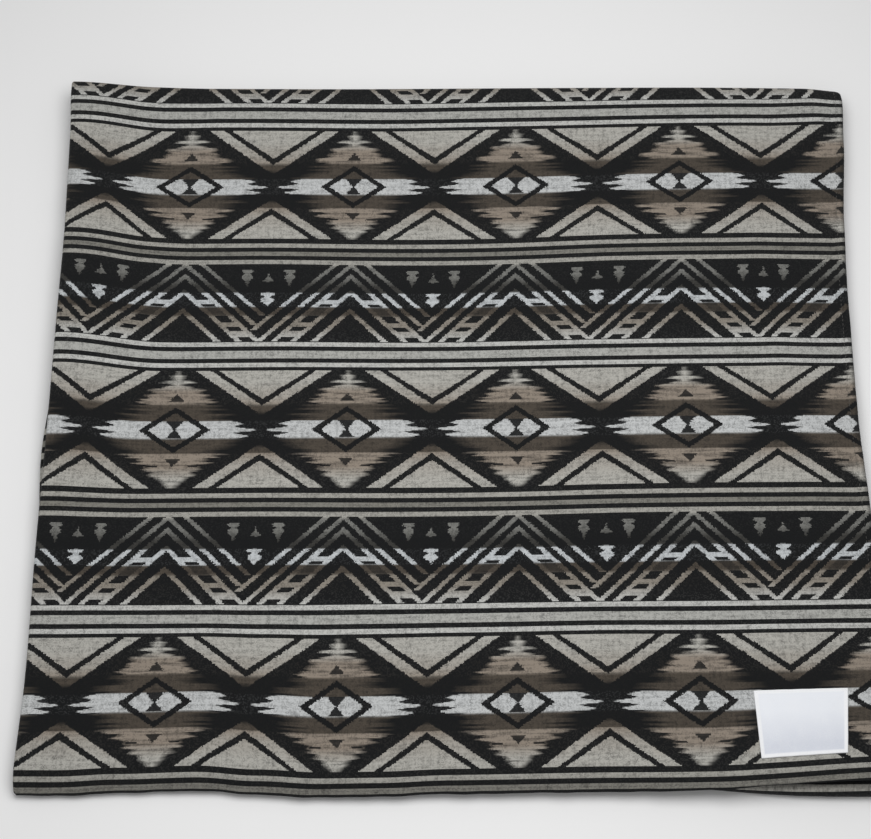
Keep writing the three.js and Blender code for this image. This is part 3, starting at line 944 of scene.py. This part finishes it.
plain_outer = cloth_grid(1, False)
stack_shift = np.array([
    (cad_low.x + cad_high.x) / (2 * MM) - (plain_outer[..., 0].min() + plain_outer[..., 0].max()) / 2,
    cad_high.y / MM - plain_outer[..., 1].max(),
    0.0,
])
cloth_mesh = closed_sheet(
    "folded_cloth",
    cloth_grid(1, True) + stack_shift,
    cloth_grid(-1, True) + stack_shift,
    weave_places(),
    "weave",
)
from_hem = cloth_mesh.attributes.new("from_hem", "FLOAT", "POINT")
edge_distances = np.concatenate([
    from_edges(stretch, shares[:, None]) for stretch, shares in row_shares.items()
])
from_hem.data.foreach_set("value", np.tile(edge_distances.ravel(), 2).astype(np.float32))
cloth = add_piece("folded_cloth", cloth_mesh, weave_material())
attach(cloth, "root")
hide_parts("blanket_cloth")


# The hems' sewing
# A dark polyester thread holds the turned hems with a straight lockstitch, a few millimetres from
# the edge. It sinks a little into the soft cloth.
HEM_STITCH_LENGTH = 2.6
HEM_STITCH_PITCH = 3.6
HEM_THREAD_RADIUS = 0.24
HEM_STITCH_SUNK = 0.04
HEM_THREAD = shade(66, 65, 62)
HEM_THREAD_LIGHTER = shade(92, 90, 86)
SEAM_POINTS = dict(corner=12, side=149, front=170)


def stitch_tree():
    """Geometry nodes that set stitches one after another along the edges of a mesh."""
    tree = bpy.data.node_groups.new("stitches", "GeometryNodeTree")
    tree.interface.new_socket("Seam", in_out="INPUT", socket_type="NodeSocketGeometry")
    for name in ("Pitch", "Length", "Radius"):
        tree.interface.new_socket(name, in_out="INPUT", socket_type="NodeSocketFloat")
    tree.interface.new_socket("Thread", in_out="INPUT", socket_type="NodeSocketMaterial")
    tree.interface.new_socket("Stitches", in_out="OUTPUT", socket_type="NodeSocketGeometry")
    nodes = tree.nodes

    def join(source, output, target, entry):
        tree.links.new(source.outputs[output], target.inputs[entry])

    given = nodes.new("NodeGroupInput")
    result = nodes.new("NodeGroupOutput")
    seam = nodes.new("GeometryNodeMeshToCurve")
    join(given, "Seam", seam, "Mesh")
    points = nodes.new("GeometryNodeCurveToPoints")
    points.mode = "LENGTH"
    join(seam, "Curve", points, "Curve")
    join(given, "Pitch", points, "Length")
    stitch = nodes.new("GeometryNodeMeshUVSphere")
    stitch.inputs["Segments"].default_value = 8
    stitch.inputs["Rings"].default_value = 5
    stitch.inputs["Radius"].default_value = 1.0
    half = nodes.new("ShaderNodeMath")
    half.operation = "MULTIPLY"
    half.inputs[1].default_value = 0.5
    join(given, "Length", half, 0)
    size = nodes.new("ShaderNodeCombineXYZ")
    join(given, "Radius", size, "X")
    join(given, "Radius", size, "Y")
    join(half, 0, size, "Z")
    shape = nodes.new("GeometryNodeTransform")
    join(stitch, "Mesh", shape, "Geometry")
    join(size, 0, shape, "Scale")
    vary = nodes.new("FunctionNodeRandomValue")
    vary.data_type = "FLOAT"
    vary.inputs["Min"].default_value = 0.86
    vary.inputs["Max"].default_value = 1.08
    vary.inputs["Seed"].default_value = 7
    copies = nodes.new("GeometryNodeInstanceOnPoints")
    join(points, "Points", copies, "Points")
    join(shape, "Geometry", copies, "Instance")
    join(points, "Rotation", copies, "Rotation")
    join(vary, "Value", copies, "Scale")
    real = nodes.new("GeometryNodeRealizeInstances")
    join(copies, "Instances", real, "Geometry")
    colour = nodes.new("GeometryNodeSetMaterial")
    join(real, "Geometry", colour, "Geometry")
    join(given, "Thread", colour, "Material")
    join(colour, "Geometry", result, "Stitches")
    return tree


stitches = stitch_tree()


def sew(name, seams, pitch, length, radius, material):
    """A plain mesh of stitches along seams, each a list of points in millimetres."""
    points = []
    edges = []
    for seam, closed in seams:
        first = len(points)
        points.extend((np.asarray(seam) * MM).tolist())
        edges.extend((k, k + 1) for k in range(first, len(points) - 1))
        if closed:
            edges.append((len(points) - 1, first))
    path = bpy.data.meshes.new(name + "_path")
    path.from_pydata(points, edges, [])
    holder = bpy.data.objects.new(name + "_path", path)
    bpy.context.scene.collection.objects.link(holder)
    modifier = holder.modifiers.new("stitches", "NODES")
    modifier.node_group = stitches
    identifiers = {item.name: item.identifier for item in stitches.interface.items_tree}
    modifier[identifiers["Pitch"]] = pitch * MM
    modifier[identifiers["Length"]] = length * MM
    modifier[identifiers["Radius"]] = radius * MM
    modifier[identifiers["Thread"]] = material
    depsgraph = bpy.context.evaluated_depsgraph_get()
    made = bpy.data.meshes.new_from_object(holder.evaluated_get(depsgraph))
    made.name = name
    bpy.data.objects.remove(holder)
    made.shade_smooth()
    return add_piece(name, made, material)


def thread_material(name, colour, lighter):
    """Twisted sewing thread: fine slanting plies and slightly uneven dye."""
    n = Nodes(name)
    where = n.tree.nodes.new("ShaderNodeTexCoord").outputs["Object"]
    plies = n.noise(where, 2600.0, 1.0)
    dye = n.noise(where, 90.0, 2.0)
    n.put(n.shader.inputs["Base Color"], n.mix(dye, colour, lighter))
    n.bump(plies, 0.5, 0.0002)
    n.shader.inputs["Roughness"].default_value = 0.7
    n.shader.inputs["Sheen Weight"].default_value = 0.1
    return n.material


def top_face_points(stretch, t, x, above):
    """Points of the top leaf's upper side, or a little above it."""
    t = np.asarray(t, float)
    x = np.asarray(x, float)
    reach = LEAF_OFFSET + HALF_THICK + top_relief(stretch, t, x) + above
    return lay_cloth(stretch, t, x, 0.0 * x, reach, 1.0, 0.0) + stack_shift


hem_share = HEM_STITCHED_AT / DROOP_FLAT
side_x = hem_x - HEM_STITCHED_AT
corner_rows = np.linspace(hem_share, 1, SEAM_POINTS["corner"])
side_rows = np.linspace(0, 1, SEAM_POINTS["side"] + 1)[1:]
side_seam = np.concatenate([
    top_face_points("droop", corner_rows, np.full(len(corner_rows), side_x), -HEM_STITCH_SUNK),
    top_face_points("top", side_rows, np.full(len(side_rows), side_x), -HEM_STITCH_SUNK),
])
front_x = np.linspace(turn_x, side_x, SEAM_POINTS["front"])
front_seam = top_face_points("droop", np.full(len(front_x), hem_share), front_x, -HEM_STITCH_SUNK)
hem_sewing = sew(
    "hem_stitches",
    [(side_seam, False), (front_seam, False)],
    HEM_STITCH_PITCH,
    HEM_STITCH_LENGTH,
    HEM_THREAD_RADIUS,
    thread_material("hem_thread", HEM_THREAD, HEM_THREAD_LIGHTER),
)
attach(hem_sewing, "root")


# The label
# A white satin ribbon, cut, its four edges turned under, sewn flat on the top panel near its front
# right corner. It is bare.
LABEL_WIDTH = 66.0
LABEL_DEPTH = 51.0
LABEL_THICK = 0.6
LABEL_GAP = 0.3
LABEL_FROM_HEM = 34.0
LABEL_FROM_FRONT = 4.0
LABEL_LEFT_SLANT = dict(by=1.9, turns_at=0.35)
LABEL_RIGHT_SLANT = dict(by=5.5, turns_at=0.6)
LABEL_FRONT_SLANT = dict(by=3.4, turns_at=0.3)
LABEL_FAR_SLANT = dict(by=1.5, turns_at=-0.4)
LABEL_MARGIN = 2.6
LABEL_MARGIN_STEP = 0.5
LABEL_MARGIN_RAISED = 0.35
LABEL_STITCHED_AT = 1.7
LABEL_DENT = 0.25
LABEL_DENT_HALF = 0.6
LABEL_PUFF = 0.7
LABEL_PUFF_REACH = 14.0
LABEL_WAVE = dict(height=0.12, across=2.3, along=5.1, fade=6.0)
LABEL_EDGE_ROUND = 0.5
LABEL_EDGE_LEAST = 0.06
LABEL_STEPS_ACROSS = 60
LABEL_STEPS_ALONG = 46
LABEL_EDGE_STEPS = [0, 0.15, 0.5, 1.2, 2.0, 2.8, 3.6, 4.6]

label_right = hem_x - LABEL_FROM_HEM
label_left = label_right - LABEL_WIDTH
label_near = front_y + LABEL_FROM_FRONT


def from_label_edge(s, r):
    """Distance from the label's nearest edge: s across from the left, r along from the near edge."""
    return np.minimum(np.minimum(s, 1 - s) * LABEL_WIDTH, np.minimum(r, 1 - r) * LABEL_DEPTH)


def on_label(s, r, above):
    """Points of the label, from its underside (above 0) to its upper side (above 1)."""
    left = label_left + LABEL_LEFT_SLANT["by"] * (LABEL_LEFT_SLANT["turns_at"] - r)
    right = label_right - LABEL_RIGHT_SLANT["by"] * (LABEL_RIGHT_SLANT["turns_at"] - r)
    x = left + (right - left) * s
    y = label_near + LABEL_DEPTH * r
    y = y + LABEL_FRONT_SLANT["by"] * (s - LABEL_FRONT_SLANT["turns_at"]) * (1 - r)
    y = y + LABEL_FAR_SLANT["by"] * (s - LABEL_FAR_SLANT["turns_at"]) * r
    edge = from_label_edge(s, r)
    inward = ramp(edge, LABEL_MARGIN - LABEL_MARGIN_STEP, LABEL_MARGIN + LABEL_MARGIN_STEP)
    margin = LABEL_MARGIN_RAISED * (1 - inward)
    dent = LABEL_DENT * bell(edge, LABEL_STITCHED_AT, LABEL_DENT_HALF)
    puff = LABEL_PUFF * ramp(edge, LABEL_MARGIN, LABEL_MARGIN + LABEL_PUFF_REACH)
    wave = LABEL_WAVE["height"] * np.sin(x / LABEL_WAVE["across"] + y / LABEL_WAVE["along"])
    wave = wave * bell(edge, 0, LABEL_WAVE["fade"])
    t = (y - front_y) / panel_length
    reach = LEAF_OFFSET + HALF_THICK + LABEL_GAP + top_relief("top", t, x)
    reach = reach + above * (LABEL_THICK + margin - dent) + puff + wave
    return lay_cloth("top", t, x, 0 * x, reach, 1.0, 0.0) + stack_shift


def label_stations(steps, size):
    """Shares from 0 to 1, closer together near both edges."""
    near = np.array(LABEL_EDGE_STEPS) / size
    inner = np.linspace(near[-1], 1 - near[-1], steps)
    return np.concatenate([near[:-1], inner, (1 - near[:-1])[::-1]])


label_s, label_r = np.meshgrid(
    label_stations(LABEL_STEPS_ACROSS, LABEL_WIDTH),
    label_stations(LABEL_STEPS_ALONG, LABEL_DEPTH),
)
label_upper = rounded(from_label_edge(label_s, label_r), LABEL_EDGE_ROUND, LABEL_EDGE_LEAST)
label_places = np.stack([label_s * LABEL_WIDTH, label_r * LABEL_DEPTH], axis=-1)
LABEL_WHITE = shade(245, 246, 248)
LABEL_FIELD = shade(236, 239, 245)
LABEL_SHADED = shade(214, 218, 228)
LABEL_FIELD_FROM = 2.2
LABEL_FIELD_FADE = 1.2
LABEL_SHADED_FROM = 34.0
LABEL_SHADED_FADE = 26.0
RIBS_TO_MM = 2.2
ENDS_TO_MM = 2.9
CLOUDY_SHARE = 0.5
GRAIN_SHARE = 0.25
FIELD_LEAST = 0.55


def label_material():
    """White satin ribbon: fine ribs across, a faintly bluish field with painted shade towards its near
    edge, and a whiter turned margin.
    """
    n = Nodes("label_satin")
    x, y = n.place("ribbon")
    inward = []
    for place, size in ((x, LABEL_WIDTH), (y, LABEL_DEPTH)):
        from_middle = n.math("ABSOLUTE", n.math("SUBTRACT", place, size / 2))
        inward.append(n.math("SUBTRACT", size / 2, from_middle))
    field = n.math("SUBTRACT", n.math("MINIMUM", *inward), LABEL_FIELD_FROM)
    field = n.math("DIVIDE", field, LABEL_FIELD_FADE, clamp=True)
    cloudy = n.noise(n.point(x, y), 0.09, 3.0)
    rib = n.math("MULTIPLY", y, RIBS_TO_MM)
    end = n.math("MULTIPLY", x, ENDS_TO_MM)
    grain = n.speckle(n.point(n.math("FLOOR", end), n.math("FLOOR", rib)))
    tone = n.math("MULTIPLY_ADD", grain, GRAIN_SHARE, FIELD_LEAST)
    tone = n.math("MULTIPLY", field, n.math("MULTIPLY_ADD", cloudy, CLOUDY_SHARE, tone))
    # Painted shade: the field darkens towards the label's near edge
    nearer = n.math("SUBTRACT", LABEL_SHADED_FROM, y)
    nearer = n.math("DIVIDE", nearer, LABEL_SHADED_FADE, clamp=True)
    ground = n.mix(nearer, LABEL_FIELD, LABEL_SHADED)
    n.put(n.shader.inputs["Base Color"], n.mix(tone, LABEL_WHITE, ground))
    ends = n.math("MULTIPLY", n.math("PINGPONG", end, 0.5), 0.4)
    n.bump(n.math("ADD", n.math("PINGPONG", rib, 0.5), ends), 0.4, 0.0003)
    n.shader.inputs["Roughness"].default_value = 0.5
    n.shader.inputs["Specular IOR Level"].default_value = 0.35
    n.shader.inputs["Sheen Weight"].default_value = 0.1
    return n.material


label_mesh = closed_sheet(
    "label_ribbon",
    on_label(label_s, label_r, label_upper),
    on_label(label_s, label_r, 0.0),
    label_places,
    "ribbon",
)
label = add_piece("label_ribbon", label_mesh, label_material())
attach(label, "root")
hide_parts("sewn_label")


# The label's sewing
# White thread, one row of small straight stitches round the label, just inside its turned edge.
LABEL_STITCH_LENGTH = 1.9
LABEL_STITCH_PITCH = 2.6
LABEL_THREAD_RADIUS = 0.2
LABEL_THREAD = shade(232, 233, 236)
LABEL_THREAD_LIGHTER = shade(246, 246, 246)
LABEL_SIDE_POINTS = 39
inset_s = LABEL_STITCHED_AT / LABEL_WIDTH
inset_r = LABEL_STITCHED_AT / LABEL_DEPTH
stitch_corners = np.array([
    (inset_s, inset_r), (1 - inset_s, inset_r), (1 - inset_s, 1 - inset_r), (inset_s, 1 - inset_r),
])
stitch_line = np.concatenate([
    np.linspace(corner, following, LABEL_SIDE_POINTS, endpoint=False)
    for corner, following in zip(stitch_corners, np.roll(stitch_corners, -1, axis=0))
])
label_sewing = sew(
    "label_stitches",
    [(on_label(stitch_line[:, 0], stitch_line[:, 1], 1.0), True)],
    LABEL_STITCH_PITCH,
    LABEL_STITCH_LENGTH,
    LABEL_THREAD_RADIUS,
    thread_material("label_thread", LABEL_THREAD, LABEL_THREAD_LIGHTER),
)
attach(label_sewing, "root")


# The studio
# A plain floor of smooth pale paper under even light from all round, with one large soft lamp straight
# above the blanket, close enough for its light to fall off a little towards the edges. Metres and watts.
FLOOR_HALF = 6.0
FLOOR_PALE = shade(242, 242, 242)
FLOOR_PALER = shade(244, 244, 244)
ROUND_LIGHT = 0.42
LAMP_SIZE = 0.8
LAMP_PLACE = (0.02, 0.0, 0.88)
LAMP_POWER = 5.5
floor_mesh = bpy.data.meshes.new("floor")
floor_corners = [(x * FLOOR_HALF, y * FLOOR_HALF, 0) for x, y in ((-1, -1), (1, -1), (1, 1), (-1, 1))]
floor_mesh.from_pydata(floor_corners, [], [(0, 1, 2, 3)])


def floor_material():
    """Smooth pale paper."""
    n = Nodes("pale_floor")
    where = n.tree.nodes.new("ShaderNodeTexCoord").outputs["Object"]
    n.put(n.shader.inputs["Base Color"], n.mix(n.noise(where, 3.0), FLOOR_PALE, FLOOR_PALER))
    n.shader.inputs["Roughness"].default_value = 0.9
    n.shader.inputs["Specular IOR Level"].default_value = 0.1
    return n.material


floor = add_piece("floor", floor_mesh, floor_material())

world = bpy.data.worlds.new("soft_light")
world.use_nodes = True
world.node_tree.nodes["Background"].inputs["Color"].default_value = WHITE
world.node_tree.nodes["Background"].inputs["Strength"].default_value = ROUND_LIGHT
bpy.context.scene.world = world

lamp_data = bpy.data.lights.new("soft_lamp", "AREA")
lamp_data.shape = "DISK"
lamp_data.size = LAMP_SIZE
lamp_data.energy = LAMP_POWER
lamp = bpy.data.objects.new("soft_lamp", lamp_data)
bpy.context.scene.collection.objects.link(lamp)
lamp.location = LAMP_PLACE
lamp.visible_camera = False
lamp.rotation_mode = "QUATERNION"
lamp.rotation_quaternion = (LOOKS_AT - lamp.location).to_track_quat("-Z", "Y")

bpy.context.scene.view_settings.view_transform = "Standard"
